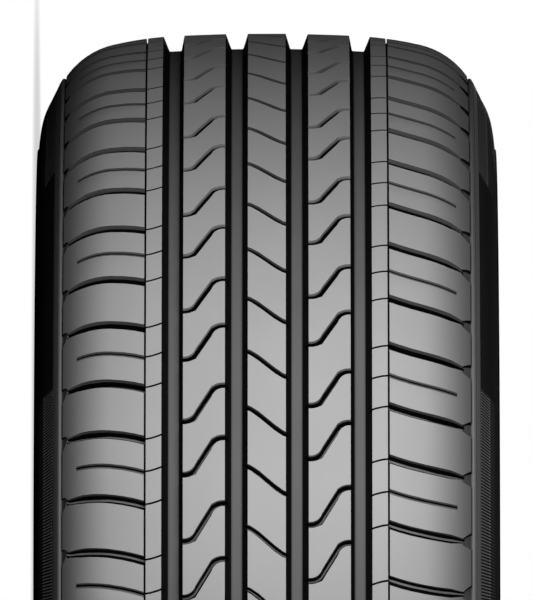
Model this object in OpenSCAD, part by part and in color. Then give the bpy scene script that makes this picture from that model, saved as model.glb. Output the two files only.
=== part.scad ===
// Passenger car tyre, lying on its sidewall with its axle line along Z.
// The origin is the centre of the tyre. All sizes are in millimetres.

/* [Overall] */
// Diameter over the middle of the tread
outer_d = 643.3; // [600:0.1:700]
// Width over the sidewalls
section_w = 235; // [225:0.5:250]
// Diameter of the bead seats
seat_d = 436.6; // [420:0.1:450]
// Distance between the outer faces of the two beads
bead_span = 203; // [190:0.5:212]

/* [Crown] */
// Radius of the tread's middle arc, seen in section
crown_r = 884; // [600:1:1400]
// Half width of the middle arc
crown_half = 47.6; // [40:0.1:52]
// Radius of the arc beside it
flank_r = 181; // [150:1:260]
// Half width at the end of the flank arc
flank_half = 78.8; // [74:0.1:82]
// Radius of the rounded shoulder
shoulder_r = 40.3; // [36:0.1:46]
// Half width of the tread, up to its edge
tread_half = 102.6; // [98:0.1:104]
// Drop of the ledge below the tread's edge
ledge_drop = 1.9; // [1:0.1:3]
// Width of the ledge beside the tread's edge
ledge_w = 2.6; // [1:0.1:4]
// Fall of the ledge from its inner side to its outer side
ledge_fall = 0.8; // [0.2:0.1:1.5]

/* [Grooves around the tyre] */
// Width of the middle rib
rib_w = 20; // [16:0.1:24]
// Width of each main groove at the top
groove_w = 10.6; // [8:0.1:12]
// Width of the two ribs beside the middle one
side_rib_w = 21.6; // [18:0.1:24]
// Width of the thin ribs outside them
thin_rib_w = 8; // [6:0.1:10]
// Depth of the main grooves
groove_depth = 7.8; // [6:0.1:9]
// Inward lean of each main groove's wall
groove_lean = 1.7; // [0.5:0.1:2.4]
// Radius where a main groove's wall meets its floor
groove_fillet = 1.6; // [0.8:0.1:2]
// Width of the narrow groove inside each shoulder
narrow_w = 0.8; // [0.5:0.1:1.5]
// Depth of the narrow groove
narrow_depth = 2.2; // [1:0.1:4]

/* [Tread pattern] */
// Number of times the pattern repeats around the tyre
repeats = 32; // [24:1:36]
// Share of a repeat that its longer pitch takes
long_share = 0.548; // [0.5:0.002:0.6]
// Angle from the middle cut to the shoulder grooves, in degrees
shoulder_lead = 3.95; // [3:0.05:5]
// Angle from the middle cut to the side rib's grooves, in degrees
s_lead = 2.34; // [1.5:0.02:3]
// Width of the grooves that cross the shoulders
cross_w = 4.3; // [3:0.1:5]
// Depth of the grooves that cross the shoulders
cross_depth = 6.4; // [4:0.1:7.4]
// Width of the flared mouth where a shoulder groove leaves the tread
mouth_w = 8.6; // [6:0.1:10]
// Radius of the shoulder grooves, seen from outside
cross_r = 108; // [90:1:140]
// Half width at which the shoulder grooves run straight across
cross_turn = 96; // [90:0.5:100]
// Width of the blind cuts between the shoulder grooves
blind_w = 2.2; // [1:0.1:3]
// Depth of the blind cuts
blind_depth = 5; // [2:0.1:6]
// Half width at which the blind cuts end
blind_end = 95.6; // [85:0.1:98]
// Width of the S-shaped grooves
s_w = 2.6; // [1.6:0.1:3.4]
// Depth of the S-shaped grooves
s_depth = 6.4; // [4:0.1:7.4]
// Rise of an S-shaped groove from one side of its rib to the other
s_rise = 19.6; // [14:0.1:24]
// Slant of the middle stretch of an S, from straight across
s_slant = 58.8; // [50:0.2:66]
// Radius of the two bends of an S
s_bend = 5; // [3.5:0.1:6]
// Width of the cuts across the middle rib
mid_w = 1.7; // [0.8:0.1:2.4]
// Depth of the cuts across the middle rib
mid_depth = 5.6; // [3:0.1:7.4]
// Rise of a middle cut from one side of the rib to the other
mid_rise = 16.4; // [10:0.1:20]
// Width of the fine cuts across the thin ribs
fine_w = 0.7; // [0.5:0.1:1.2]
// Depth of the fine cuts
fine_depth = 4; // [2:0.1:6]
// Rise of a fine cut across its rib
fine_rise = 2.2; // [1:0.1:4]

/* [Sidewall and inside] */
// Radius at which the sidewall stands widest
widest_r = 256; // [250:0.5:262]
// Width of the flat raised band there, which the tyre lies on
band_w = 12; // [6:0.5:18]
// Height of the raised band
band_h = 0.5; // [0.3:0.05:1]
// Radius of the sidewall's curve around its widest point
wall_arc_r = 100; // [85:1:120]
// Slant of the buttress below the tread's edge, in degrees
buttress_slant = 60; // [54:0.5:64]
// Radius of the bend between the buttress and the sidewall
buttress_bend = 42; // [36:0.5:50]
// Radius of the bend above the rim flange
shelf_bend = 9; // [6:0.5:12]
// Height of the rim flange that the bead seats against
flange_h = 17.5; // [14:0.5:20]
// Thickness of the sidewall at its widest
wall_t = 8.5; // [6:0.1:11]
// Thickness of the crown, from the tread's top to the inside
crown_t = 16; // [14:0.1:19]
// Width of the bead's foot
bead_foot = 19; // [16:0.5:22]
// Depth of the step from the rim flange's line to the bead's outer face
shelf_step = 2.5; // [1.5:0.1:3]
// Length of the straight part of the bead seat
seat_len = 9; // [6:0.5:11]
// Radius of the bead's heel
heel_r = 6; // [4:0.5:7]
// Drop of the bead's toe towards the axle
toe_drop = 1; // [0.5:0.1:2]

/* [Hidden] */
outer_r = outer_d / 2;
half_w = section_w / 2;
seat_r = seat_d / 2;
bead_half = bead_span / 2;
// How far a cut reaches past the surface that it opens through
past = 3;
// Places of the grooves, as distances from the middle of the tread
rib_half = rib_w / 2;
side_rib_in = rib_half + groove_w;
side_rib_out = side_rib_in + side_rib_w;
thin_rib_in = side_rib_out + groove_w;
narrow_in = thin_rib_in + thin_rib_w;
shoulder_in = narrow_in + narrow_w;

// Angles and centres of the crown's three arcs
crown_a = asin(crown_half / crown_r);
flank_c = crown_half - flank_r * sin(crown_a);
flank_a = asin((flank_half - flank_c) / flank_r);
shoulder_c = flank_half - shoulder_r * sin(flank_a);
edge_a = asin((tread_half - shoulder_c) / shoulder_r);
crown_y = outer_r - sqrt(crown_r ^ 2 - rib_half ^ 2);
flank_y = crown_y + (crown_r - flank_r) * cos(crown_a);
shoulder_y = flank_y + (flank_r - shoulder_r) * cos(flank_a);

// Radius of the tread's surface at a distance from its middle
function tread_r(s) =
    s <= crown_half ? crown_y + sqrt(crown_r ^ 2 - s ^ 2)
    : s <= flank_half ? flank_y + sqrt(flank_r ^ 2 - (s - flank_c) ^ 2)
    : shoulder_y + sqrt(shoulder_r ^ 2 - (s - shoulder_c) ^ 2);

// Points along an arc, as [radius, distance from the middle]
function arc(c, r, a0, a1, steps) =
    [for (i = [0:steps]) let (a = a0 + (a1 - a0) * i / steps) [c[0] + r * sin(a), c[1] + r * cos(a)]];

// Wall, floor and wall of one main groove
wall_a = atan2(groove_lean, groove_depth);
fillet_run = groove_fillet * tan((90 - wall_a) / 2);
function groove_points(s0) =
    let (
        s1 = s0 + groove_w,
        floor_r = tread_r(s0 + groove_w / 2) - groove_depth,
        lean0 = (tread_r(s0) - floor_r) * tan(wall_a),
        lean1 = (tread_r(s1) - floor_r) * tan(wall_a),
        in0 = s0 + lean0 + fillet_run,
        in1 = s1 - lean1 - fillet_run
    )
    concat(
        [[tread_r(s0), s0]],
        [for (a = [wall_a, (90 + wall_a) / 2, 90])
            [floor_r + groove_fillet * (1 - sin(a)), in0 - groove_fillet * cos(a)]],
        [for (a = [90, (90 + wall_a) / 2, wall_a])
            [floor_r + groove_fillet * (1 - sin(a)), in1 + groove_fillet * cos(a)]],
        [[tread_r(s1), s1]]
    );

// Outer line of the tread, from its middle to its edge
function tread_line() = concat(
    groove_points(rib_half),
    groove_points(side_rib_out),
    [
        [tread_r(narrow_in), narrow_in],
        [tread_r(narrow_in) - narrow_depth, narrow_in],
        [tread_r(shoulder_in) - narrow_depth, shoulder_in]
    ],
    [[tread_r(shoulder_in), shoulder_in], [tread_r(flank_half), flank_half]],
    [for (i = [1:3]) let (a = flank_a + (edge_a - flank_a) * i / 3)
        [shoulder_y + shoulder_r * cos(a), shoulder_c + shoulder_r * sin(a)]]
);

// Sidewall from the ledge to the rim flange
edge_r = tread_r(tread_half);
edge_run = 0.6;
ledge_in = tread_half + edge_run;
ledge_top = edge_r - ledge_drop;
ledge_s = ledge_in + ledge_w;
ledge_r = ledge_top - ledge_fall;
wall_c = [widest_r, half_w - band_h - wall_arc_r];
turn_a = 10;
turn_c = [
    wall_c[0] + (wall_arc_r - buttress_bend) * sin(turn_a),
    wall_c[1] + (wall_arc_r - buttress_bend) * cos(turn_a)
];
buttress_a = 90 - buttress_slant;
band_low = widest_r - band_w / 2;
band_high = widest_r + band_w / 2;
band_a = asin((band_w / 2 + band_h) / wall_arc_r);
low_a = 6;
shelf_a = 62;
low_c = wall_c + (wall_arc_r - shelf_bend) * [-sin(low_a), cos(low_a)];
flange_r = seat_r + flange_h;
flange_fall = 4;

function wall_line() = concat(
    [[ledge_top, ledge_in], [ledge_r, ledge_s]],
    arc(turn_c, buttress_bend, buttress_a, turn_a, 4),
    [wall_c + wall_arc_r * [sin(band_a), cos(band_a)], [band_high, half_w], [band_low, half_w]],
    [wall_c + wall_arc_r * [-sin(band_a), cos(band_a)]],
    arc(low_c, shelf_bend, -low_a, -shelf_a, 4),
    [[flange_r + 1, bead_half + shelf_step], [flange_r - flange_fall, bead_half]]
);

// Bead, from its heel to its toe
toe_s = bead_half - bead_foot;
function bead_line() = concat(
    [for (a = [0, 30, 60, 90])
        [seat_r + heel_r * (1 - sin(a)), bead_half - heel_r * (1 - cos(a))]],
    [[seat_r, bead_half - heel_r - seat_len], [seat_r - toe_drop, toe_s]]
);

// Inside of the tyre, from the toe up and back to the middle
inner_r = outer_r - crown_t;
inner_half = half_w - band_h - wall_t;
inner_wall_r = 62;
inner_wall_c = [widest_r - 6, inner_half - inner_wall_r];
inner_low = 6;
inner_turn = 40;
toe_h = 1.5;
toe_slope_h = 10;
toe_slope_w = 7;
inner_foot = 8;
// Fall of the inside at three places, from the shoulder to the middle
inner_places = [[72, 4], [40, 1.2], [12, 0]];
function inner_line() = concat(
    [
        [seat_r + toe_h, toe_s],
        [seat_r + toe_slope_h, toe_s + toe_slope_w],
        [flange_r, inner_half - inner_foot]
    ],
    arc(inner_wall_c, inner_wall_r, -inner_low, inner_turn, 5),
    [for (place = inner_places) [inner_r - place[1], place[0]]]
);

half_line = concat(tread_line(), wall_line(), bead_line(), inner_line());
other_half = [for (i = [len(half_line) - 1:-1:0]) [half_line[i][0], -half_line[i][1]]];

// The moulded casing with the grooves that run around it
module casing() {
    rotate_extrude($fn = 180)
        polygon(concat(half_line, other_half));
}

// Turns a cut so that its X runs across the tread, Y around it and Z outwards
module on_tread(a) {
    rotate([0, 0, a])
        rotate([0, 90, 0])
            children();
}

// A flat outline cut into the tread to a depth below its top
module plain_cut(depth) {
    translate([0, 0, outer_r - depth])
        linear_extrude(depth + past)
            children();
}

// Outline of a band that follows a centre line, with square ends
function band_outline(line, w) = concat(
    [for (i = [0:len(line) - 1]) line[i] + side_step(line, i) * w / 2],
    [for (i = [len(line) - 1:-1:0]) line[i] - side_step(line, i) * w / 2]
);

// Step to the side of a line at one of its points, lengthened where it bends
function unit(v) = v / norm(v);
function side_step(line, i) =
    let (
        before = unit(line[max(i, 1)] - line[max(i, 1) - 1]),
        after = unit(line[min(i + 1, len(line) - 1)] - line[min(i + 1, len(line) - 1) - 1]),
        mid = unit(before + after)
    )
    [-mid[1], mid[0]] / (mid * before);

// Centre line of a shoulder groove: an arc that ends straight across
cross_end = ledge_s + past;
cross_start = narrow_in + narrow_w / 2;
cross_from = narrow_in - 1;
cross_drop = cross_r - sqrt(cross_r ^ 2 - (cross_turn - cross_start) ^ 2);
function cross_t(s) =
    s >= cross_turn ? -cross_drop
    : -cross_drop + cross_r - sqrt(cross_r ^ 2 - (cross_turn - s) ^ 2);
function cross_line(s1, steps) =
    [for (i = [0:steps]) let (s = cross_from + (s1 - cross_from) * i / steps) [s, cross_t(s)]];

// Side view of a shoulder cut: it starts in the narrow groove and its floor follows the tread down
module floor_side(depth, exit_depth) {
    low = [
        [cross_start, tread_r(narrow_in) - depth],
        [flank_half, tread_r(flank_half) - depth],
        [cross_end, ledge_top - exit_depth]
    ];
    polygon(concat(low, [[cross_end, outer_r + past], [cross_start, outer_r + past]]));
}

// Keeps the part of an outline's cut that lies above the floor
module shoulder_cut(depth, exit_depth) {
    intersection() {
        translate([0, 0, edge_r - 20])
            linear_extrude(60)
                children();
        rotate([90, 0, 0])
            translate([0, 0, -40])
                linear_extrude(80)
                    floor_side(depth, exit_depth);
    }
}

// Groove across the shoulder, with a flared mouth at the tread's edge
module cross_groove() {
    line = cross_line(cross_turn + 3, 3);
    side = band_outline(line, cross_w);
    count = len(line);
    mouth = [[cross_end, -cross_drop + mouth_w / 2], [cross_end, -cross_drop - mouth_w / 2]];
    shoulder_cut(cross_depth, 1)
        polygon(concat([for (i = [0:count - 1]) side[i]], mouth, [for (i = [count:2 * count - 1]) side[i]]));
}

// Blind cut between two shoulder grooves
module blind_cut() {
    shoulder_cut(blind_depth, blind_depth)
        polygon(band_outline(cross_line(blind_end, 2), blind_w));
}

// S-shaped groove across a side rib, open to the main groove at each end
s_mid = (side_rib_in + side_rib_out) / 2;
s_step = s_rise / tan(s_slant) / 2;
s_tangent = s_bend * tan(s_slant / 2);
s_end = side_rib_w / 2 + groove_lean + 0.8;
module s_groove() {
    low_bend = [for (a = [0, s_slant])
        [s_mid - s_step - s_tangent + s_bend * sin(a), -s_rise / 2 + s_bend * (1 - cos(a))]];
    high_bend = [for (i = [1, 0]) [2 * s_mid - low_bend[i][0], -low_bend[i][1]]];
    line = concat(
        [[s_mid - s_end, -s_rise / 2]],
        low_bend,
        high_bend,
        [[s_mid + s_end, s_rise / 2]]
    );
    plain_cut(s_depth)
        polygon(band_outline(line, s_w));
}

// Slanted cut across the middle rib
mid_end = rib_half + groove_lean + 0.6;
module mid_cut() {
    high = mid_rise / 2 * mid_end / rib_half;
    plain_cut(mid_depth)
        polygon(band_outline([[-mid_end, high], [mid_end, -high]], mid_w));
}

// Fine cut across a thin rib
module fine_cut() {
    line = [[thin_rib_in - groove_lean - 0.4, -fine_rise], [shoulder_in + 0.4, 0]];
    plain_cut(fine_depth)
        polygon(band_outline(line, fine_w));
}

// All cuts on one side of the tread, within one repeat
repeat_a = 360 / repeats;
long_a = repeat_a * long_share;
module side_cuts() {
    for (a = [0, long_a]) {
        rotate([-(a - shoulder_lead), 0, 0])
            cross_groove();
        rotate([-(a - shoulder_lead), 0, 0])
            fine_cut();
        rotate([-(a - s_lead), 0, 0])
            s_groove();
    }
    rotate([-(long_a / 2 - shoulder_lead), 0, 0])
        blind_cut();
    rotate([-(long_a / 2 - shoulder_lead), 0, 0])
        fine_cut();
}

// One repeat of the pattern: the far side is the near one turned half a turn
module pattern_cuts() {
    side_cuts();
    rotate([0, 0, 180])
        side_cuts();
    for (a = [0, repeat_a / 2])
        rotate([-a, 0, 0])
            mid_cut();
}

module tyre() {
    color([0.12, 0.12, 0.12])
        difference() {
            casing();
            for (i = [0:repeats - 1])
                on_tread(i * repeat_a)
                    pattern_cuts();
        }
}

tyre();
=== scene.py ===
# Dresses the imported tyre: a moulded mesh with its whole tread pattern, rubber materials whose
# tones carry painted light and shade, soft studio light, a pale floor and the photograph's
# long-lens view of the tread.
import math
import bmesh
import bpy
from mathutils import Matrix, Vector
from mathutils.geometry import delaunay_2d_cdt


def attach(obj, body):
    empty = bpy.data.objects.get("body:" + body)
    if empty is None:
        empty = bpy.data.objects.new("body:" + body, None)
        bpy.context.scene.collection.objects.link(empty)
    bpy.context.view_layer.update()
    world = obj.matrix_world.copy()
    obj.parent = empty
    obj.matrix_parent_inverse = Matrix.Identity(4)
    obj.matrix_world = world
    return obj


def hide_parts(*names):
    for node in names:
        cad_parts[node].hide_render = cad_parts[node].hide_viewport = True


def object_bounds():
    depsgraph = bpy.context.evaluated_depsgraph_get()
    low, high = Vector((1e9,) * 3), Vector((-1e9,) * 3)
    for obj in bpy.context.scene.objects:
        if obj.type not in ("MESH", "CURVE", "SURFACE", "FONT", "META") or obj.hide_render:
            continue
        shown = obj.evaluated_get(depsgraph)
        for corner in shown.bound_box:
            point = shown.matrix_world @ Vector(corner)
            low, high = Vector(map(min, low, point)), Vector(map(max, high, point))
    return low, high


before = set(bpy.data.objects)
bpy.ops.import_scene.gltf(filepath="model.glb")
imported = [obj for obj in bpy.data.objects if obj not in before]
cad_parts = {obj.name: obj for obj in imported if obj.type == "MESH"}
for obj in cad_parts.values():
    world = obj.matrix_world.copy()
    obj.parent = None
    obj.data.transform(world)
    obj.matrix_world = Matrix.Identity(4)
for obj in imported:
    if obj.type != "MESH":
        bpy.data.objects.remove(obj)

cad_low, cad_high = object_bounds()

# Sizes of the tyre in millimetres, as the solid has them. A place on the tread has a distance s
# across it, from the middle, and a length t around it, which grows downwards in the picture.
MM = 0.001
OUTER_R = (cad_high.x - cad_low.x) / 2 / MM
HALF_W = (cad_high.z - cad_low.z) / 2 / MM
SEAT_R = 218.3
RIB_HALF = 10.0
GROOVE_W = 10.6
SIDE_RIB_W = 21.6
THIN_RIB_W = 8.0
NARROW_W = 0.8
TREAD_HALF = 102.6
GROOVE_IN = RIB_HALF + GROOVE_W / 2
GROOVE_OUT = GROOVE_IN + GROOVE_W + SIDE_RIB_W
THIN_RIB_IN = GROOVE_OUT + GROOVE_W / 2
NARROW_S = THIN_RIB_IN + THIN_RIB_W + NARROW_W / 2
SIDE_RIB_S = (GROOVE_IN + GROOVE_OUT) / 2

# The pattern's repeat, as angles in degrees and as a length around the tread's top. It has a long and
# a short pitch. A lead is the angle by which the grooves lie above the middle rib's first cut. The
# plain rings beside and inside the tread have a few columns in each repeat.
REPEATS = 32
REPEAT_ANGLE = 360 / REPEATS
LONG_SHARE = 0.548
LONG_ANGLE = REPEAT_ANGLE * LONG_SHARE
SHOULDER_LEAD = 3.95
S_LEAD = 2.34
PER_DEGREE = math.radians(OUTER_R)
REPEAT_LENGTH = REPEAT_ANGLE * PER_DEGREE
COLUMNS = 4

# The tread's section: three arcs that meet smoothly
CROWN_R, CROWN_HALF = 884.0, 47.6
FLANK_R, FLANK_HALF = 181.0, 78.8
SHOULDER_R = 40.3
crown_angle = math.asin(CROWN_HALF / CROWN_R)
flank_middle = CROWN_HALF - FLANK_R * math.sin(crown_angle)
flank_angle = math.asin((FLANK_HALF - flank_middle) / FLANK_R)
shoulder_middle = FLANK_HALF - SHOULDER_R * math.sin(flank_angle)
crown_height = OUTER_R - math.sqrt(CROWN_R**2 - RIB_HALF**2)
flank_height = crown_height + (CROWN_R - FLANK_R) * math.cos(crown_angle)
shoulder_height = flank_height + (FLANK_R - SHOULDER_R) * math.cos(flank_angle)


def tread_r(s):
    """Radius of the tread's surface at a distance from its middle."""
    s = abs(s)
    if s <= RIB_HALF:
        return OUTER_R
    if s <= CROWN_HALF:
        return crown_height + math.sqrt(CROWN_R**2 - s**2)
    if s <= FLANK_HALF:
        return flank_height + math.sqrt(FLANK_R**2 - (s - flank_middle) ** 2)
    return shoulder_height + math.sqrt(SHOULDER_R**2 - (s - shoulder_middle) ** 2)


def arc(centre, r, start, end, steps):
    """Points along an arc between two angles, as (distance from the middle, radius)."""
    angles = [math.radians(start + (end - start) * i / steps) for i in range(steps + 1)]
    return [(centre[0] + r * math.cos(a), centre[1] + r * math.sin(a)) for a in angles]


# Meridian from the tread's edge over the ledge and the buttress, down the sidewall to the bead,
# and up inside to the middle of the crown
EDGE_R = tread_r(TREAD_HALF)
LEDGE_DROP = 1.9
LEDGE_IN = TREAD_HALF + 0.3
LEDGE_OUT = LEDGE_IN + 2.4
LEDGE_R = EDGE_R - LEDGE_DROP
LEDGE_FALL = 0.8
BAND_END = 107.7
LINE_HALF = 0.2
LINE_DEPTH = 0.5
WIDEST_R = 256.0
WIDEST_HALF = 6.0
BAND_H = 0.5
WALL_ARC = 100.0
WALL_EDGE_ANGLE = 3.9
BEND_ANGLE = 30.0
TURN_ANGLE = 10.0
TURN_R = 42.0
wall_centre = (HALF_W - BAND_H - WALL_ARC, WIDEST_R)
turn_centre = (
    wall_centre[0] + (WALL_ARC - TURN_R) * math.cos(math.radians(TURN_ANGLE)),
    wall_centre[1] + (WALL_ARC - TURN_R) * math.sin(math.radians(TURN_ANGLE)),
)
LOW_ANGLE = 6.0
SHELF_ANGLE = 62.0
LOW_R = 9.0
low_centre = (
    wall_centre[0] + (WALL_ARC - LOW_R) * math.cos(math.radians(LOW_ANGLE)),
    wall_centre[1] - (WALL_ARC - LOW_R) * math.sin(math.radians(LOW_ANGLE)),
)
BEAD_HALF = 101.5
FLANGE_R = SEAT_R + 17.5
HEEL_R = 6.0
TOE_S = BEAD_HALF - 19.0
INNER_R = OUTER_R - 16.0
INNER_HALF = HALF_W - BAND_H - 8.5
INNER_ARC = 62.0

# Parts of the surface, each with its own tone: lit and shaded copies of one rubber. The near-black
# wall tone is painted shadow, on walls and on the shaded parts of floors, and the gleam tone is
# painted light on the floors of narrow cuts
TOP, FLOOR, PAINTED_SHADOW, SIDE, LINER, BAND, LIP, LIT_FLOOR, DIM, STRIP, EDGE = range(11)


def outside_strips():
    """Points of the ledge and the buttress, each with the painted tone of the strip that ends there:
    shaded copies of the rubber, and black painted shadow in the step and the fine line.
    """
    bend = arc(turn_centre, TURN_R, BEND_ANGLE, TURN_ANGLE, 7)
    first = (LEDGE_OUT + 0.3, LEDGE_R - LEDGE_FALL - 0.2)

    def slope(s, inward=0.0):
        share = (s - first[0]) / (bend[0][0] - first[0])
        return (s, first[1] + (bend[0][1] - first[1]) * share - inward)

    ledge_end = LEDGE_R - LEDGE_FALL
    strips = [((LEDGE_IN, LEDGE_R + 0.1), PAINTED_SHADOW), ((LEDGE_IN + 0.5, LEDGE_R + 0.5), BAND)]
    strips += [((LEDGE_IN + 1.3, LEDGE_R + 0.6), BAND), ((LEDGE_OUT - 0.3, LEDGE_R), BAND)]
    strips += [((LEDGE_OUT, ledge_end), BAND), (first, DIM), (slope(BAND_END - LINE_HALF), STRIP)]
    strips += [(slope(BAND_END, LINE_DEPTH), PAINTED_SHADOW), (slope(BAND_END + LINE_HALF), SIDE)]
    strips += [(point, SIDE) for point in bend]
    return strips


def sidewall_points():
    """From the end of the buttress bend to the bead's heel."""
    points = arc(wall_centre, WALL_ARC, TURN_ANGLE - 1, WALL_EDGE_ANGLE, 5)
    points += [(HALF_W, WIDEST_R + WIDEST_HALF), (HALF_W, WIDEST_R), (HALF_W, WIDEST_R - WIDEST_HALF)]
    points += arc(wall_centre, WALL_ARC, -WALL_EDGE_ANGLE, -LOW_ANGLE, 2)[:2]
    points += arc(low_centre, LOW_R, -LOW_ANGLE, -SHELF_ANGLE, 8)
    points += [(BEAD_HALF + 4.4, FLANGE_R + 1.3), (BEAD_HALF + 2.5, FLANGE_R + 0.6)]
    points += [(BEAD_HALF + 0.8, FLANGE_R - 1.2), (BEAD_HALF, FLANGE_R - 4)]
    heel_centre = (BEAD_HALF - HEEL_R, SEAT_R + HEEL_R)
    points += arc(heel_centre, HEEL_R, 0, -90, 8)
    return points


def inside_points():
    """From the bead's seat and toe up the inner wall to the middle."""
    points = [(BEAD_HALF - HEEL_R - 9, SEAT_R), (TOE_S + 1.2, SEAT_R - 0.9)]
    points += [(TOE_S + 0.3, SEAT_R - 0.6), (TOE_S, SEAT_R + 0.4), (TOE_S + 0.3, SEAT_R + 1.8)]
    points += [(TOE_S + 3, SEAT_R + 5), (TOE_S + 7, SEAT_R + 10), (TOE_S + 12.5, SEAT_R + 14.4)]
    points += [(INNER_HALF - 8, FLANGE_R)]
    points += arc((INNER_HALF - INNER_ARC, WIDEST_R - 6), INNER_ARC, -6, 40, 10)
    points += [(83, INNER_R - 8.2), (72, INNER_R - 4), (56, INNER_R - 2.2), (40, INNER_R - 1.2)]
    points += [(12, INNER_R)]
    return points


OUTSIDE_POINTS = [point for point, zone in outside_strips()]
OUTSIDE_ZONES = [zone for point, zone in outside_strips()]


def surface(q):
    """Point on the outside at a distance along it: past the edge, the distance follows the ledge."""
    if q <= TREAD_HALF:
        return (q, tread_r(q))
    last = (TREAD_HALF, EDGE_R)
    left = q - TREAD_HALF
    for point in OUTSIDE_POINTS:
        step = math.dist(last, point)
        if left <= step:
            share = left / step
            return (last[0] + (point[0] - last[0]) * share, last[1] + (point[1] - last[1]) * share)
        left -= step
        last = point
    return last


def outside_stops():
    """Distances along the outside of the ledge's and the buttress's points."""
    last = (TREAD_HALF, EDGE_R)
    q = TREAD_HALF
    stops = []
    for point in OUTSIDE_POINTS:
        q += math.dist(last, point)
        stops.append(q)
        last = point
    return stops


OUTSIDE_STOPS = outside_stops()
LEDGE_Q = OUTSIDE_STOPS[0]

# Profiles of the grooves and cuts, as (offset, share of the depth, painted tone of the band that
# starts there). An offset is measured across the void, and grows downwards in the picture. The tread
# leans back there, so the picture shows a void's upper wall and the upper part of its floor. The black
# bands are painted shadow, and the grey bands on lips, chamfers and floors are lit and shaded copies
# of the tread's rubber.
NARROW = [(-0.5, 0, PAINTED_SHADOW), (-0.38, 0.06, PAINTED_SHADOW), (-0.3, 1, PAINTED_SHADOW),
          (0.3, 1, PAINTED_SHADOW), (0.38, 0.06, PAINTED_SHADOW), (0.5, 0, TOP)]
CROSS = [(-2.2, 0, PAINTED_SHADOW), (-2.05, 0.03, LIP), (-1.95, 0.38, PAINTED_SHADOW), (-1.7, 1, PAINTED_SHADOW),
         (-1.15, 1, LIT_FLOOR), (-0.1, 1, PAINTED_SHADOW), (1.8, 1, PAINTED_SHADOW), (1.95, 0.08, PAINTED_SHADOW), (2.5, 0, TOP)]
BLIND = [(-1.25, 0, DIM), (-0.55, 0.12, PAINTED_SHADOW), (-0.45, 1, PAINTED_SHADOW),
         (0.4, 1, PAINTED_SHADOW), (0.5, 0.05, LIP), (1.4, 0, TOP)]
S_CUT = [(-1.4, 0, EDGE), (-1.25, 0.06, EDGE), (-1.15, 0.28, PAINTED_SHADOW), (-1.0, 1, PAINTED_SHADOW),
         (-0.3, 1, BAND), (0.6, 1, PAINTED_SHADOW), (1.6, 0.04, PAINTED_SHADOW), (1.75, 0, TOP)]
MID_CUT = [(-1.25, 0, DIM), (-1.1, 0.04, DIM), (-1.0, 0.28, PAINTED_SHADOW), (-0.85, 1, PAINTED_SHADOW),
           (-0.3, 1, LIT_FLOOR), (0.12, 1, PAINTED_SHADOW), (0.5, 1, PAINTED_SHADOW), (1.2, 0.04, PAINTED_SHADOW), (1.32, 0, TOP)]
FINE = [(-0.5, 0, PAINTED_SHADOW), (-0.3, 1, PAINTED_SHADOW), (0.3, 1, PAINTED_SHADOW), (0.5, 0, TOP)]
NEAR_MOUTH = [(-0.9, 0, PAINTED_SHADOW), (-0.8, 0.9, DIM), (0.7, 0.9, DIM), (0.85, 0, TOP)]
FAR_MOUTH = [(-1.0, 0, PAINTED_SHADOW), (-0.93, 0.85, PAINTED_SHADOW), (-0.78, 1, LIP), (0.8, 0.9, LIP), (1.05, 0, TOP)]
MAIN_DEPTH = 7.8
NARROW_DEPTH = 2.4
CUT_DEPTH = 6.4
BLIND_DEPTH = 5.0
MID_DEPTH = 5.6
FINE_DEPTH = 4.0

# A place this near to a void's end is on it, and a place this shallow is on the tread's top
ON_END = 1e-6
SHALLOW = 0.02

# The main grooves' half widths at the top, at the foot of their walls and over their flat floors.
# They lean outwards a little, so their floors lie nearer to the middle than their tops.
HALF_IN = 5.75
HALF_OUT = 5.42
FOOT_HALF = 3.15
FLOOR_HALF = 2.8
BEVEL = 0.17
INWARD_IN = 0.2
INWARD_OUT = 0.7


def main_profile(half, inward):
    """Profile of a main groove: leaning walls painted black as shadow, and a floor painted a shaded grey."""
    rim = [(-half, 0, PAINTED_SHADOW), (BEVEL - half, 0.03, PAINTED_SHADOW)]
    floor = [(-FOOT_HALF - inward, 0.95, PAINTED_SHADOW), (-FLOOR_HALF - inward, 1, FLOOR)]
    floor += [(FLOOR_HALF - inward, 1, PAINTED_SHADOW), (FOOT_HALF - inward, 0.95, PAINTED_SHADOW)]
    return rim + floor + [(half - BEVEL, 0.03, PAINTED_SHADOW), (half, 0, TOP)]


MAIN_GROOVES = (
    (GROOVE_IN, main_profile(HALF_IN, INWARD_IN)),
    (GROOVE_OUT, main_profile(HALF_OUT, INWARD_OUT)),
)


def across(profile, offset):
    """Share of the depth and painted tone at an offset across a profile."""
    for (w0, share0, zone), (w1, share1, _) in zip(profile, profile[1:]):
        if w0 <= offset <= w1:
            return share0 + (share1 - share0) * (offset - w0) / (w1 - w0), zone
    return 0.0, TOP


def stretch(line, s):
    """How much longer a void is measured around the tyre than across itself."""
    h = 0.05
    slope = (line(s + h) - line(s - h)) / (2 * h)
    return math.sqrt(1 + slope * slope)


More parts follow.
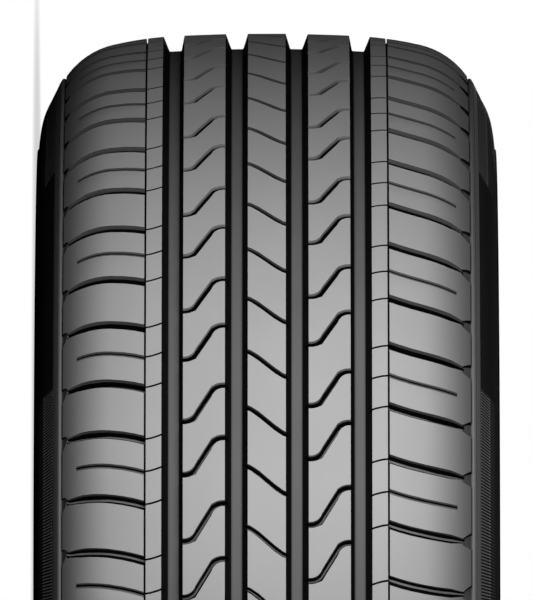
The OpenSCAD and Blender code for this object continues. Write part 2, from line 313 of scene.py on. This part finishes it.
class Void:
    """A groove or cut: stops across the tread, its centre line, its profile and its depth."""

    def __init__(self, stops, line, profile, depth, swell=None, blind=None):
        self.stops = stops
        self.mid = [line(s) for s in stops]
        self.scale = [stretch(line, s) * (swell(s) if swell else 1) for s in stops]
        self.profile = profile
        self.depth = depth
        self.blind = blind

    def turned(self):
        """The same void on the other side of the tread, turned half a turn."""
        there = Void([-s for s in reversed(self.stops)], lambda s: 0, self.profile,
                     lambda s: self.depth(-s), None, self.blind)
        there.mid = [-m for m in reversed(self.mid)]
        there.scale = list(reversed(self.scale))
        return there

    def at(self, s, t):
        """Depth and painted tone at a place."""
        if s < self.stops[0] - ON_END or s > self.stops[-1] + ON_END:
            return 0.0, TOP
        i = 0
        while i < len(self.stops) - 2 and s > self.stops[i + 1]:
            i += 1
        share = (s - self.stops[i]) / (self.stops[i + 1] - self.stops[i])
        mid = self.mid[i] + (self.mid[i + 1] - self.mid[i]) * share
        scale = self.scale[i] + (self.scale[i + 1] - self.scale[i]) * share
        deep, zone = across(self.profile, (t - mid) / scale)
        if self.blind:
            deep *= min(1.0, max(0.0, (self.blind - abs(s)) / BLIND_RUN))
        return deep * self.depth(s), zone

    def lines(self, shift):
        """Lines along the void at each offset of its profile, and lines across its two ends."""
        made = []
        for offset, _, _ in self.profile:
            made.append([(s, m + offset * k + shift) for s, m, k in zip(self.stops, self.mid, self.scale)])
        low, high = self.profile[0][0], self.profile[-1][0]
        for i in (0, 1, -2, -1) if self.blind else (0, -1):
            s, m, k = self.stops[i], self.mid[i] + shift, self.scale[i]
            made.append([(s, m + low * k), (s, m + high * k)])
        return made


def even(start, end, steps):
    """Evenly spaced values from one end to the other."""
    return [start + (end - start) * i / steps for i in range(steps + 1)]


def shifted(line, t):
    """The same centre line, further around the tyre."""
    return lambda s: line(s) + t


def level(depth):
    """A depth that is the same all along a cut."""
    return lambda s: depth


# Shoulder grooves follow an arc that ends straight across, grow narrower and open into a flared
# mouth. Cuts run a little way into the grooves beside them.
CROSS_R = 108.0
CROSS_TURN = 96.0
CROSS_DROP = CROSS_R - math.sqrt(CROSS_R**2 - (CROSS_TURN - NARROW_S) ** 2)
SHOULDER_STOPS = [66.5, 72.0] + even(FLANK_HALF, TREAD_HALF, 7)
NARROWING_START = 92.4
NARROWING_RUN = 6.8
MOUTH_SWELL = 4.4
BLIND_END = 95.6
BLIND_RUN = 0.5
CUT_OVER = 1.2


def stops_until(*ends):
    """Stops across the shoulder, from the narrow groove to the given ends."""
    return [NARROW_S] + [s for s in SHOULDER_STOPS if s < ends[0]] + list(ends)


def cross_line(s):
    """Centre line of a shoulder groove."""
    if s >= CROSS_TURN:
        return -CROSS_DROP
    return -CROSS_DROP + CROSS_R - math.sqrt(CROSS_R**2 - (CROSS_TURN - s) ** 2)


def cross_depth(s):
    """Depth of a shoulder groove, whose floor falls to the ledge at the tread's edge."""
    s = abs(s)
    if s <= FLANK_HALF:
        return CUT_DEPTH
    share = (s - FLANK_HALF) / (LEDGE_IN - FLANK_HALF)
    floor = (tread_r(FLANK_HALF) - CUT_DEPTH) * (1 - share) + LEDGE_R * share
    return max(0.0, tread_r(min(s, TREAD_HALF)) - floor)


def narrowing(share):
    """Width of a shoulder groove, which grows narrower by a share before its mouth."""
    return lambda s: 1 - share * min(1.0, max(0.0, (abs(s) - NARROWING_START) / NARROWING_RUN))


def mouth(line, start, first_swell, lead, low, profile):
    """The flared end of a shoulder groove, which comes out level with the ledge.

    Its middle moves from the lead, at its start, to the low place at the tread's edge, both
    measured down from the groove's line.
    """
    def share(s):
        return min(1.0, (abs(s) - start) / (TREAD_HALF - start))

    def depth(s):
        if abs(s) > TREAD_HALF:
            return max(0.0, surface(abs(s))[1] - LEDGE_R)
        return LEDGE_DROP * (0.5 + 0.5 * share(s))

    def middle(s):
        return line(s) + lead * (1 - share(s)) + low * share(s)

    def swell(s):
        return first_swell + (MOUTH_SWELL - first_swell) * share(s)

    stops = even(start, TREAD_HALF, 2) + [LEDGE_Q]
    return Void(stops, middle, profile, depth, swell)


def shoulder_groove(t, far):
    """A shoulder groove and its mouth. On the near side it narrows less and opens later."""
    line = shifted(cross_line, t)
    if far:
        groove = Void(stops_until(99.0), line, CROSS, cross_depth, narrowing(0.5))
        return [groove, mouth(line, start=98.2, first_swell=1.6, lead=-0.6, low=0.9, profile=FAR_MOUTH)]
    groove = Void(stops_until(100.3), line, CROSS, cross_depth, narrowing(0.3))
    return [groove, mouth(line, start=100.1, first_swell=0.3, lead=-1.5, low=1.0, profile=NEAR_MOUTH)]


def blind_cut(t):
    """A cut that runs out on the shoulder, halfway between two shoulder grooves."""
    stops = stops_until(BLIND_END - BLIND_RUN, BLIND_END)
    return Void(stops, shifted(cross_line, t), BLIND, level(BLIND_DEPTH), None, BLIND_END)


# S-shaped grooves: two straight tails joined by a slanted stretch with rounded bends
S_RISE = 19.6
S_SLANT = math.radians(58.8)
S_BEND = 6.8
S_BEND_STEPS = 7
S_STEP = S_RISE / math.tan(S_SLANT) / 2
S_TANGENT = S_BEND * math.tan(S_SLANT / 2)
S_TAIL = S_STEP + S_TANGENT
S_REACH = SIDE_RIB_W / 2 + 1.3
S_MIDDLE = SIDE_RIB_S + 0.34


def s_line(s):
    """Centre line of an S groove."""
    x = abs(s - S_MIDDLE)
    side = 1 if s >= S_MIDDLE else -1
    if x <= S_STEP - S_TANGENT * math.cos(S_SLANT):
        return side * x * math.tan(S_SLANT)
    if x < S_TAIL:
        return side * (S_RISE / 2 - S_BEND + math.sqrt(S_BEND**2 - (S_TAIL - x) ** 2))
    return side * S_RISE / 2


def s_groove(t):
    """An S groove, with stops at its two ends and at the steps of its two bends."""
    bend = [S_TAIL - S_BEND * math.sin(S_SLANT * i / S_BEND_STEPS) for i in range(S_BEND_STEPS + 1)]
    half = [S_REACH] + bend
    stops = [S_MIDDLE - x for x in half] + [S_MIDDLE + x for x in reversed(half)]
    return Void(stops, shifted(s_line, t), S_CUT, level(CUT_DEPTH))


# Cuts across the middle rib, a little flatter towards their ends, and fine cuts across the thin ribs
MID_SLOPE = 0.91
MID_FLATTER = 0.0016
FINE_RISE = 2.2
FINE_UP = 0.4


def mid_line(s):
    """Centre line of a cut across the middle rib."""
    return -(MID_SLOPE * s - MID_FLATTER * s**3)


def mid_cut(t):
    """A slanted cut across the middle rib."""
    half = [4.0, 8.0, RIB_HALF + CUT_OVER]
    stops = [-s for s in reversed(half)] + half
    return Void(stops, shifted(mid_line, t), MID_CUT, level(MID_DEPTH))


def fine_line(s):
    """Centre line of a fine cut, which bends up towards the main groove."""
    share = (NARROW_S - s) / (NARROW_S - THIN_RIB_IN)
    return -FINE_RISE * share**1.5 if share > 0 else 0.0


def fine_cut(t):
    """A fine cut across a thin rib, in line with a shoulder groove or a blind cut."""
    stops = even(THIN_RIB_IN - CUT_OVER, NARROW_S, 3)
    return Void(stops, shifted(fine_line, t - FINE_UP), FINE, level(FINE_DEPTH))


def side_voids(far=False):
    """All grooves and cuts on one side, within one repeat."""
    made = []
    for angle in (0, LONG_ANGLE):
        t = (angle - SHOULDER_LEAD) * PER_DEGREE
        made += shoulder_groove(t, far)
        made += [fine_cut(t), s_groove((angle - S_LEAD) * PER_DEGREE)]
    t = (LONG_ANGLE / 2 - SHOULDER_LEAD) * PER_DEGREE
    made += [blind_cut(t), fine_cut(t)]
    return made


def repeat_voids():
    """One repeat's voids: the near side's, the far side's turned half a turn, and the middle rib's."""
    made = side_voids() + [void.turned() for void in side_voids(far=True)]
    return made + [mid_cut(t) for t in (0, REPEAT_LENGTH / 2)]


VOIDS = repeat_voids()


def pattern(s, t):
    """Depth and painted tone of the tread pattern at a place: those of the deepest void there."""
    a = abs(s)
    found = []
    in_main = False
    for centre, profile in MAIN_GROOVES:
        deep, zone = across(profile, a - centre)
        found.append((deep * MAIN_DEPTH, zone))
        in_main = in_main or deep > SHALLOW
    deep, zone = across(NARROW, a - NARROW_S)
    found.append((deep * NARROW_DEPTH, zone))
    for void in VOIDS:
        found += [void.at(s, t + shift) for shift in (-REPEAT_LENGTH, 0, REPEAT_LENGTH)]
    deep, zone = max(found, key=lambda item: item[0])
    # Inside a main groove, all but the floor gets the black painted shadow
    if in_main and zone != FLOOR:
        zone = PAINTED_SHADOW
    return deep, zone


# Neighbouring points of a line this close are one point
SAME_POINT = 1e-7
# The triangulation joins points this close
SNAP_DISTANCE = 1e-4


class Plan:
    """Points and lines for the flat triangulation of one repeat."""

    def __init__(self, low, high):
        self.low = low
        self.high = high
        self.points = []
        self.edges = []

    def add(self, line):
        """Adds a line, cut off at the repeat's two ends."""
        run = []
        for a, b in zip(line, line[1:]):
            piece = self.cut(a, b)
            if piece is None:
                continue
            if not run or (Vector(run[-1]) - Vector(piece[0])).length > SAME_POINT:
                self.close(run)
                run = [piece[0]]
            run.append(piece[1])
        self.close(run)

    def close(self, run):
        """Keeps a run of points with an edge between each two neighbours."""
        if len(run) < 2:
            return
        start = len(self.points)
        self.points += [Vector(p) for p in run]
        self.edges += [(start + i, start + i + 1) for i in range(len(run) - 1)]

    def cut(self, a, b):
        """The part of a line between the two ends, or None."""
        (s0, t0), (s1, t1) = a, b
        if max(t0, t1) < self.low or min(t0, t1) > self.high:
            return None
        out = []
        for s, t, s_to, t_to in ((s0, t0, s1, t1), (s1, t1, s0, t0)):
            end = min(max(t, self.low), self.high)
            share = 0 if end == t else (end - t) / (t_to - t)
            out.append((s + (s_to - s) * share, end))
        if (Vector(out[0]) - Vector(out[1])).length < SAME_POINT:
            return None
        return out


# Lines along the ribs, which keep the faces there short
RIB_LINES = {4.0, 31.6, 56.7}


def tread_plan():
    """Triangulates one repeat of the tread, from buttress to buttress."""
    plan = Plan(-REPEAT_LENGTH / 2, REPEAT_LENGTH / 2)
    stops = RIB_LINES | set(SHOULDER_STOPS)
    for centre, profile in MAIN_GROOVES:
        stops |= {centre + offset for offset, _, _ in profile}
    stops |= {NARROW_S + offset for offset, _, _ in NARROW}
    stops |= set(OUTSIDE_STOPS)
    for s in sorted(stops):
        for side in (-1, 1):
            plan.add([(side * s, plan.low), (side * s, plan.high)])
    wide = max(stops)
    for t in even(plan.low, plan.high, COLUMNS):
        plan.add([(-wide, t), (wide, t)])
    for void in VOIDS:
        for shift in (-REPEAT_LENGTH, 0, REPEAT_LENGTH):
            for line in void.lines(shift):
                plan.add(line)
    points, _, faces, _, _, _ = delaunay_2d_cdt(plan.points, plan.edges, [], 0, SNAP_DISTANCE)
    return points, faces, wide


def tread_zone(corners):
    """Painted tone of a face of the tread plan, from the place of its middle."""
    s = sum(p.x for p in corners) / len(corners)
    t = sum(p.y for p in corners) / len(corners)
    deep, zone = pattern(s, t)
    if deep > SHALLOW:
        return zone
    for stop, strip in zip(OUTSIDE_STOPS, OUTSIDE_ZONES):
        if TREAD_HALF < abs(s) <= stop:
            return strip
    return TOP


class Skin:
    """The tyre's points, faces and the painted tone of each face."""

    def __init__(self):
        self.verts = []
        self.polys = []
        self.zones = []

    def point(self, s, r, angle):
        """Adds a point at a distance along the axle and a radius, in millimetres, and an angle."""
        self.verts.append((r * math.cos(angle) * MM, r * math.sin(angle) * MM, s * MM))

    def face(self, corners, zone):
        """Adds a face with its painted tone."""
        self.polys.append(corners)
        self.zones.append(zone)

    def add_tread(self, points, faces):
        """The tread and the buttresses: the flat plan of one repeat, wrapped and repeated."""
        depths = [pattern(p.x, p.y)[0] for p in points]
        tile_zones = [tread_zone([points[i] for i in f]) for f in faces]
        for k in range(REPEATS):
            base = len(self.verts)
            for p, deep in zip(points, depths):
                side = 1 if p.x >= 0 else -1
                s, r = surface(abs(p.x))
                self.point(-side * s, r - deep, math.radians(k * REPEAT_ANGLE) + p.y / OUTER_R)
            for f, zone in zip(faces, tile_zones):
                self.face([base + i for i in f], zone)

    def add_rings(self, wide):
        """The rest: rings from one edge of the tread plan round the inside to the other."""
        outside_count = 1 + len(sidewall_points())
        section = [surface(wide)] + sidewall_points() + inside_points()
        half = [(-s, r) for s, r in section]
        loop = half + [(-s, r) for s, r in reversed(half)]
        count = REPEATS * COLUMNS
        start = len(self.verts)
        for s, r in loop:
            for j in range(count):
                self.point(s, r, math.radians(360 * j / count - REPEAT_ANGLE / 2))
        for i in range(len(loop) - 1):
            inside = outside_count <= i < len(loop) - outside_count
            for j in range(count):
                a = start + i * count + j
                b = start + i * count + (j + 1) % count
                self.face([a, b, b + count, a + count], LINER if inside else SIDE)


def tyre_mesh():
    """The whole tyre as one closed mesh: the repeated tread, the sidewalls, beads and inside."""
    points, faces, wide = tread_plan()
    skin = Skin()
    skin.add_tread(points, faces)
    skin.add_rings(wide)
    mesh = bpy.data.meshes.new("tyre_rubber")
    mesh.from_pydata(skin.verts, [], skin.polys)
    mesh.polygons.foreach_set("material_index", skin.zones)
    return mesh


JOIN_DISTANCE = 2e-6
SHORTEST_EDGE = 1e-6
SHARP_ANGLE = 24


def clean(mesh):
    """Joins the repeats, turns all faces outwards and sets sharp edges."""
    work = bmesh.new()
    work.from_mesh(mesh)
    bmesh.ops.remove_doubles(work, verts=work.verts, dist=JOIN_DISTANCE)
    bmesh.ops.dissolve_degenerate(work, dist=SHORTEST_EDGE, edges=work.edges)
    bmesh.ops.recalc_face_normals(work, faces=work.faces)
    triangles = sum(len(f.verts) - 2 for f in work.faces)
    open_edges = sum(len(e.link_faces) != 2 for e in work.edges)
    print("tyre mesh:", len(work.verts), "points,", triangles, "triangles,", open_edges, "open edges")
    work.to_mesh(mesh)
    work.free()
    mesh.polygons.foreach_set("use_smooth", [True] * len(mesh.polygons))
    mesh.set_sharp_from_angle(angle=math.radians(SHARP_ANGLE))
    mesh.update()


# Materials: node set-ups made by small helpers
def grey(value):
    """A grey colour of the given tone."""
    return (value, value, value, 1)


def node(tree, kind, **values):
    """A node with the given socket values and settings."""
    made = tree.nodes.new(kind)
    for name, value in values.items():
        if name in made.inputs:
            made.inputs[name].default_value = value
        else:
            setattr(made, name, value)
    return made


def connect(tree, value, socket):
    """Links another node's output to a socket, or sets the socket to a plain value."""
    if isinstance(value, bpy.types.NodeSocket):
        tree.links.new(value, socket)
    else:
        socket.default_value = value


def math_node(tree, operation, *values):
    """A math node's output. Its inputs are numbers or other outputs."""
    made = node(tree, "ShaderNodeMath", operation=operation)
    for socket, value in zip(made.inputs, values):
        connect(tree, value, socket)
    return made.outputs[0]


def mixed_colour(tree, share, first, second, blend="MIX"):
    """A mix of two colours. A mix node's colour sockets come after those for numbers and vectors."""
    made = node(tree, "ShaderNodeMix", data_type="RGBA", blend_type=blend)
    for index, value in ((0, share), (6, first), (7, second)):
        connect(tree, value, made.inputs[index])
    return made.outputs[2]


def coordinates(tree, place):
    """The tyre's own X, Y and Z, in metres."""
    parts = node(tree, "ShaderNodeSeparateXYZ")
    connect(tree, place.outputs["Object"], parts.inputs[0])
    return [parts.outputs[name] for name in "XYZ"]


def from_middle(tree, place):
    """Distance from the middle of the tread, in millimetres."""
    _, _, z = coordinates(tree, place)
    return math_node(tree, "MULTIPLY", math_node(tree, "ABSOLUTE", z), 1 / MM)


def from_axle(tree, place):
    """Distance from the axle line, in millimetres."""
    x, y, _ = coordinates(tree, place)
    squares = [math_node(tree, "POWER", part, 2.0) for part in (x, y)]
    radius = math_node(tree, "SQRT", math_node(tree, "ADD", *squares))
    return math_node(tree, "MULTIPLY", radius, 1 / MM)


def around_axle(tree, place):
    """Angle around the axle line, in radians."""
    x, y, _ = coordinates(tree, place)
    return math_node(tree, "ARCTAN2", y, x)


def steps_over(tree, value, low, high, stops):
    """A curve over a value, from stops as (place, share)."""
    span = node(tree, "ShaderNodeMapRange", **{"From Min": low, "From Max": high})
    connect(tree, value, span.inputs["Value"])
    ramp = node(tree, "ShaderNodeValToRGB")
    elements = ramp.color_ramp.elements
    while len(elements) < len(stops):
        elements.new(0.5)
    for element, (place, share) in zip(elements, stops):
        element.position = (place - low) / (high - low)
        element.color = grey(share)
    connect(tree, span.outputs["Result"], ramp.inputs["Fac"])
    return ramp.outputs["Color"]


def painted_edge_shade(tree, place):
    """Painted shade: the tread is darker towards its edges, where the light falls off, and a little in
    the middle.
    """
    curve = [(0, 0.92), (42, 0.93), (58, 1), (79, 1), (84, 0.93), (88, 0.85), (95, 0.67)]
    curve += [(99, 0.55), (104, 0.4)]
    return steps_over(tree, from_middle(tree, place), 0, 104, curve)


def floor_shade(tree, place):
    """Painted shade: the main grooves' floors are darker towards their rounded corners, where the walls
    keep light off them.
    """
    width = from_middle(tree, place)
    middles = (GROOVE_IN - INWARD_IN, GROOVE_OUT - INWARD_OUT)
    reaches = [math_node(tree, "ABSOLUTE", math_node(tree, "SUBTRACT", width, s)) for s in middles]
    reach = math_node(tree, "MINIMUM", *reaches)
    return steps_over(tree, reach, 0, 3.2, [(0, 0.78), (1.6, 0.78), (2.2, 0.68), (2.8, 0.2)])


def side_shade(tree, place):
    """Painted shade: the sidewall is darkest around and above its widest place, which the light only
    grazes.
    """
    curve = [(230, 1), (238, 1), (255, 0.09), (282, 0.09), (296, 0.28)]
    return steps_over(tree, from_axle(tree, place), 230, 310, curve)


# Painted highlights of fine radial ribs on the sidewall below the buttress, in long patches: the ribs
# are real, but are drawn only as light stripes in the colour, not as relief
RIB_COUNT = 1120
RIB_GAP = 0.3
PATCHES = 6
PATCH_TURN = -0.763


def painted_rib_highlights(tree, place):
    """Painted highlights of the fine ribs: where they are, and how bright. They end in a brighter
    painted rim, and are faint beyond it.
    """
    angle = around_axle(tree, place)
    wave = math_node(tree, "SINE", math_node(tree, "MULTIPLY", angle, RIB_COUNT))
    rib_highlight = math_node(tree, "GREATER_THAN", wave, RIB_GAP)
    patch = math_node(tree, "SINE", math_node(tree, "MULTIPLY_ADD", angle, PATCHES, PATCH_TURN))
    high = math_node(tree, "GREATER_THAN", from_axle(tree, place), WIDEST_R + WIDEST_HALF)
    kept = math_node(tree, "MULTIPLY", math_node(tree, "GREATER_THAN", patch, 0.0), high)
    curve = [(107.8, 0.75), (108.3, 0.6), (111.6, 0.6), (111.8, 1), (112.3, 1), (112.5, 0.22)]
    curve += [(114.6, 0.18), (115, 0)]
    reach = steps_over(tree, from_middle(tree, place), 107, 115, curve)
    return math_node(tree, "MULTIPLY", math_node(tree, "MULTIPLY", rib_highlight, kept), reach)


MOTTLE_SCALE = 26.0
ROUGHNESS_SPREAD = 0.05
GRAIN_HEIGHT = 0.0002


def rubber(name, dark, light, roughness, bump, grain, specular, painted_shade=None, rib_highlight=None):
    """Moulded rubber: a mottled tone, fine grain and soft gloss, with painted shade or painted rib
    highlights laid on its tone.
    """
    material = bpy.data.materials.new(name)
    material.use_nodes = True
    tree = material.node_tree
    shader = tree.nodes["Principled BSDF"]
    shader.inputs["Specular IOR Level"].default_value = specular
    place = node(tree, "ShaderNodeTexCoord")
    mottle = node(tree, "ShaderNodeTexNoise", Scale=MOTTLE_SCALE, Detail=4.0, Roughness=0.6)
    connect(tree, place.outputs["Object"], mottle.inputs["Vector"])
    ramp = node(tree, "ShaderNodeValToRGB")
    for element, position, value in zip(ramp.color_ramp.elements, (0.3, 0.7), (dark, light)):
        element.position = position
        element.color = grey(value)
    connect(tree, mottle.outputs["Fac"], ramp.inputs["Fac"])
    colour = ramp.outputs["Color"]
    # Painted shade darkens the tone, and painted rib highlights are mixed over it
    if painted_shade:
        colour = mixed_colour(tree, 1, colour, painted_shade(tree, place), "MULTIPLY")
    if rib_highlight:
        colour = mixed_colour(tree, painted_rib_highlights(tree, place), colour, grey(rib_highlight))
    connect(tree, colour, shader.inputs["Base Color"])
    fine = node(tree, "ShaderNodeTexNoise", Scale=grain, Detail=5.0, Roughness=0.65)
    connect(tree, place.outputs["Object"], fine.inputs["Vector"])
    spread = node(tree, "ShaderNodeMapRange")
    spread.inputs["To Min"].default_value = roughness - ROUGHNESS_SPREAD
    spread.inputs["To Max"].default_value = roughness + ROUGHNESS_SPREAD
    connect(tree, fine.outputs["Fac"], spread.inputs["Value"])
    connect(tree, spread.outputs["Result"], shader.inputs["Roughness"])
    relief = node(tree, "ShaderNodeBump", Strength=bump, Distance=GRAIN_HEIGHT)
    connect(tree, fine.outputs["Fac"], relief.inputs["Height"])
    connect(tree, relief.outputs["Normal"], shader.inputs["Normal"])
    return material


# Each rubber's dark and light tone, roughness, bump, grain and gloss. All but the liner are lit and
# shaded copies of one rubber: the tread's top is painted paler as a painted sheen, the wall tone is
# black painted shadow, the gleam tone is painted light on the floors of cuts, and the floor, sidewall,
# band, lip, dim, edge and strip tones are painted shade
rubbers_with_painted_light = {
    TOP: rubber("tread_rubber_painted_light", 0.37, 0.39, 0.62, 0.04, 900.0, 0.4, painted_shade=painted_edge_shade),
    FLOOR: rubber("floor_painted_shade", 0.135, 0.15, 0.75, 0.06, 700.0, 0.3, painted_shade=floor_shade),
    PAINTED_SHADOW: rubber("wall_painted_shadow", 0.004, 0.005, 0.85, 0.06, 700.0, 0.05),
    SIDE: rubber("sidewall_painted_shade_and_highlights", 0.056, 0.062, 0.7, 0.08, 800.0, 0.06, painted_shade=side_shade, rib_highlight=0.37),
    LINER: rubber("liner_rubber", 0.09, 0.1, 0.6, 0.1, 300.0, 0.3),
    BAND: rubber("band_painted_shade", 0.14, 0.15, 0.6, 0.05, 800.0, 0.35),
    LIP: rubber("lip_painted_shade", 0.1, 0.11, 0.65, 0.05, 800.0, 0.2),
    LIT_FLOOR: rubber("floor_strip_painted_light", 0.35, 0.37, 0.65, 0.05, 800.0, 0.3),
    DIM: rubber("dim_painted_shade", 0.07, 0.08, 0.7, 0.05, 800.0, 0.2),
    EDGE: rubber("edge_painted_shade", 0.19, 0.2, 0.65, 0.05, 800.0, 0.3),
    STRIP: rubber("strip_painted_shade", 0.17, 0.18, 0.65, 0.05, 800.0, 0.3),
}

mesh = tyre_mesh()
clean(mesh)
tyre = bpy.data.objects.new("tyre_rubber", mesh)
bpy.context.scene.collection.objects.link(tyre)
for zone in sorted(rubbers_with_painted_light):
    mesh.materials.append(rubbers_with_painted_light[zone])
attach(tyre, "root")
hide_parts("tyre")

# The floor that the tyre lies on: it shows as white paper that fades into the white room. Other rays
# than the camera's meet a darker tone, so that it throws little light back at the tyre.
FLOOR_DROP = 0.0005
FLOOR_Z = cad_low.z - FLOOR_DROP
FLOOR_RADIUS = 3.0
FADE_START = 0.3
FADE_END = 0.4
LEAST_WHITE = 0.65


def floor_paper():
    """White paper with a soft shadow under the tyre, which fades out around it."""
    material = bpy.data.materials.new("floor_paper")
    material.use_nodes = True
    tree = material.node_tree
    tree.nodes.clear()
    path = node(tree, "ShaderNodeLightPath")
    paper = node(tree, "ShaderNodeBsdfDiffuse")
    tint = mixed_colour(tree, path.outputs["Is Camera Ray"], grey(0.12), grey(0.95))
    connect(tree, tint, paper.inputs["Color"])
    place = node(tree, "ShaderNodeTexCoord")
    radius = node(tree, "ShaderNodeVectorMath", operation="LENGTH")
    connect(tree, place.outputs["Object"], radius.inputs[0])
    fade = node(tree, "ShaderNodeMapRange", interpolation_type="SMOOTHSTEP")
    fade.inputs["From Min"].default_value = FADE_START
    fade.inputs["From Max"].default_value = FADE_END
    fade.inputs["To Min"].default_value = LEAST_WHITE
    connect(tree, radius.outputs["Value"], fade.inputs["Value"])
    seen = math_node(tree, "MULTIPLY", fade.outputs["Result"], path.outputs["Is Camera Ray"])
    white = node(tree, "ShaderNodeEmission", Strength=1.0)
    mix = node(tree, "ShaderNodeMixShader")
    connect(tree, seen, mix.inputs["Fac"])
    connect(tree, paper.outputs[0], mix.inputs[1])
    connect(tree, white.outputs[0], mix.inputs[2])
    out = node(tree, "ShaderNodeOutputMaterial")
    connect(tree, mix.outputs[0], out.inputs["Surface"])
    return material


bpy.ops.mesh.primitive_circle_add(
    vertices=96, radius=FLOOR_RADIUS, fill_type="NGON", location=(0, 0, FLOOR_Z)
)
floor = bpy.context.object
floor.name = "floor"
floor.data.materials.append(floor_paper())

# The photograph's view: level, facing the tread, with the axle line across the picture. A long lens
# stands in for its parallel view, and its scale holds at a plane within the tyre's front half.
VIEW_PHASE = 5.88
VIEW_TURN = math.radians(-90 + VIEW_PHASE)
LENS = 1500.0
SENSOR = 36.0
PICTURE_ROWS = 600
TYRE_COLUMNS = 465.1
PICTURE_H = PICTURE_ROWS * 2 * HALF_W / TYRE_COLUMNS * MM
CENTRE_UP = 0.185
CENTRE_SIDE = -0.00015
SCALE_DEPTH = 0.2
AXLE = Vector((0, 0, 1))
to_camera = Vector((math.cos(VIEW_TURN), math.sin(VIEW_TURN), 0))
picture_up = to_camera.cross(AXLE)


def turned_to(across_way, up_way, away):
    """The turn of a camera or lamp that points against the last of three directions."""
    return Matrix((across_way, up_way, away)).transposed().to_4x4()


def long_lens_camera():
    """A camera far in front of the tyre, with the photograph's frame."""
    data = bpy.data.cameras.new("camera")
    data.lens = LENS
    data.sensor_width = SENSOR
    data.clip_start = 0.1
    data.clip_end = 60.0
    camera = bpy.data.objects.new("camera", data)
    bpy.context.scene.collection.objects.link(camera)
    eye = AXLE * CENTRE_SIDE + picture_up * CENTRE_UP + to_camera * (LENS / SENSOR * PICTURE_H + SCALE_DEPTH)
    camera.matrix_world = Matrix.Translation(eye) @ turned_to(AXLE, picture_up, to_camera)
    return camera


bpy.context.scene.camera = long_lens_camera()


def soft_box(name, at, away, side, width, length, power):
    """A rectangular lamp. Its back points away, and its length lies across the given side."""
    data = bpy.data.lights.new(name, "AREA")
    data.shape = "RECTANGLE"
    data.size = width
    data.size_y = length
    data.energy = power
    lamp = bpy.data.objects.new(name, data)
    bpy.context.scene.collection.objects.link(lamp)
    along = away.cross(side).normalized()
    lamp.matrix_world = Matrix.Translation(at) @ turned_to(side, along, away)
    lamp.visible_camera = False


# Soft light: a long strip in front of the tread, broad boxes above, behind and at one side, and the
# room. Distances and sizes are in metres, and powers in watts.
KEY_RISE = math.radians(22)
KEY_REACH = 0.56
KEY_SHIFT = 0.03
ABOVE_REACH = 2.8
FILL_REACH = 1.6
key_way = to_camera * math.cos(KEY_RISE) + picture_up * math.sin(KEY_RISE)
above_way = (AXLE * 2.4 - to_camera * 1.5).normalized()
side_way = (picture_up * -2.7 - to_camera).normalized()
soft_box("key", key_way * KEY_REACH + AXLE * KEY_SHIFT, key_way, AXLE, 0.18, 0.58, 1.3)
soft_box("above", above_way * ABOVE_REACH, above_way, picture_up, 1.2, 1.2, 7.5)
soft_box("back", to_camera * -FILL_REACH, -to_camera, AXLE, 0.6, 0.8, 10.0)
soft_box("side", side_way * FILL_REACH, side_way, AXLE, 0.6, 0.8, 10.0)

ROOM_LIGHT = 0.06


def white_room():
    """A room that shows as plain white and lights the tyre faintly from all sides."""
    world = bpy.data.worlds.new("studio")
    world.use_nodes = True
    tree = world.node_tree
    tree.nodes.clear()
    path = node(tree, "ShaderNodeLightPath")
    room = node(tree, "ShaderNodeBackground", Color=grey(1), Strength=ROOM_LIGHT)
    white = node(tree, "ShaderNodeBackground", Color=grey(1), Strength=1.0)
    mix = node(tree, "ShaderNodeMixShader")
    out = node(tree, "ShaderNodeOutputWorld")
    connect(tree, path.outputs["Is Camera Ray"], mix.inputs["Fac"])
    connect(tree, room.outputs[0], mix.inputs[1])
    connect(tree, white.outputs[0], mix.inputs[2])
    connect(tree, mix.outputs[0], out.inputs["Surface"])
    return world


bpy.context.scene.world = white_room()
bpy.context.scene.view_settings.view_transform = "Standard"
